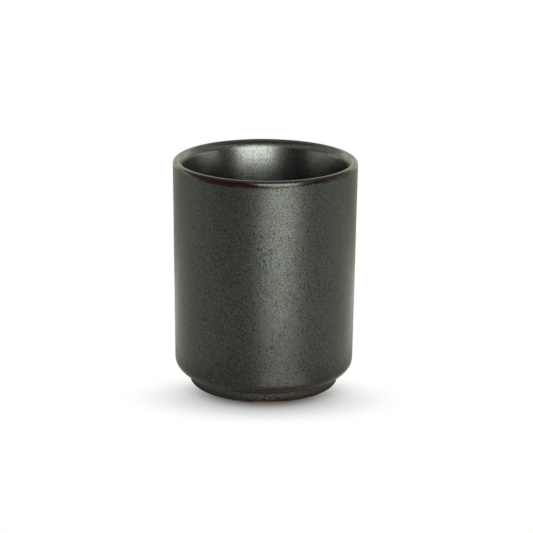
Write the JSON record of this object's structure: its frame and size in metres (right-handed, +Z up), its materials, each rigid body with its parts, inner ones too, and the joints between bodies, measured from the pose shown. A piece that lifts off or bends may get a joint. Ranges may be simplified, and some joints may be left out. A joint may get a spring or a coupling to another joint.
{
  "type": "sake cup",
  "caption": "Tall straight-walled stoneware sake cup with a rounded lip, a shoulder that turns under and a set-in foot ring, for drinking.",
  "frame": {"origin": "on the cup's axis, in the plane of the standing face of the foot ring", "axes": "+Z up along the cup's axis, from the foot to the lip; X and Y are alike, because the cup is round"},
  "size_m": [0.056, 0.056, 0.07],
  "materials": {
    "stoneware": "matte",
    "gunmetal_glaze": "satin",
    "brown_glaze": "gloss"
  },
  "bodies": {
    "root": {"stoneware_body": "stoneware", "inner_glaze": "gunmetal_glaze", "lip_break": "brown_glaze", "wall_glaze": "gunmetal_glaze", "step_break": "brown_glaze", "foot_glaze": "gunmetal_glaze", "foot_break": "brown_glaze", "base_glaze": "gunmetal_glaze"}
  },
  "joints": []
}
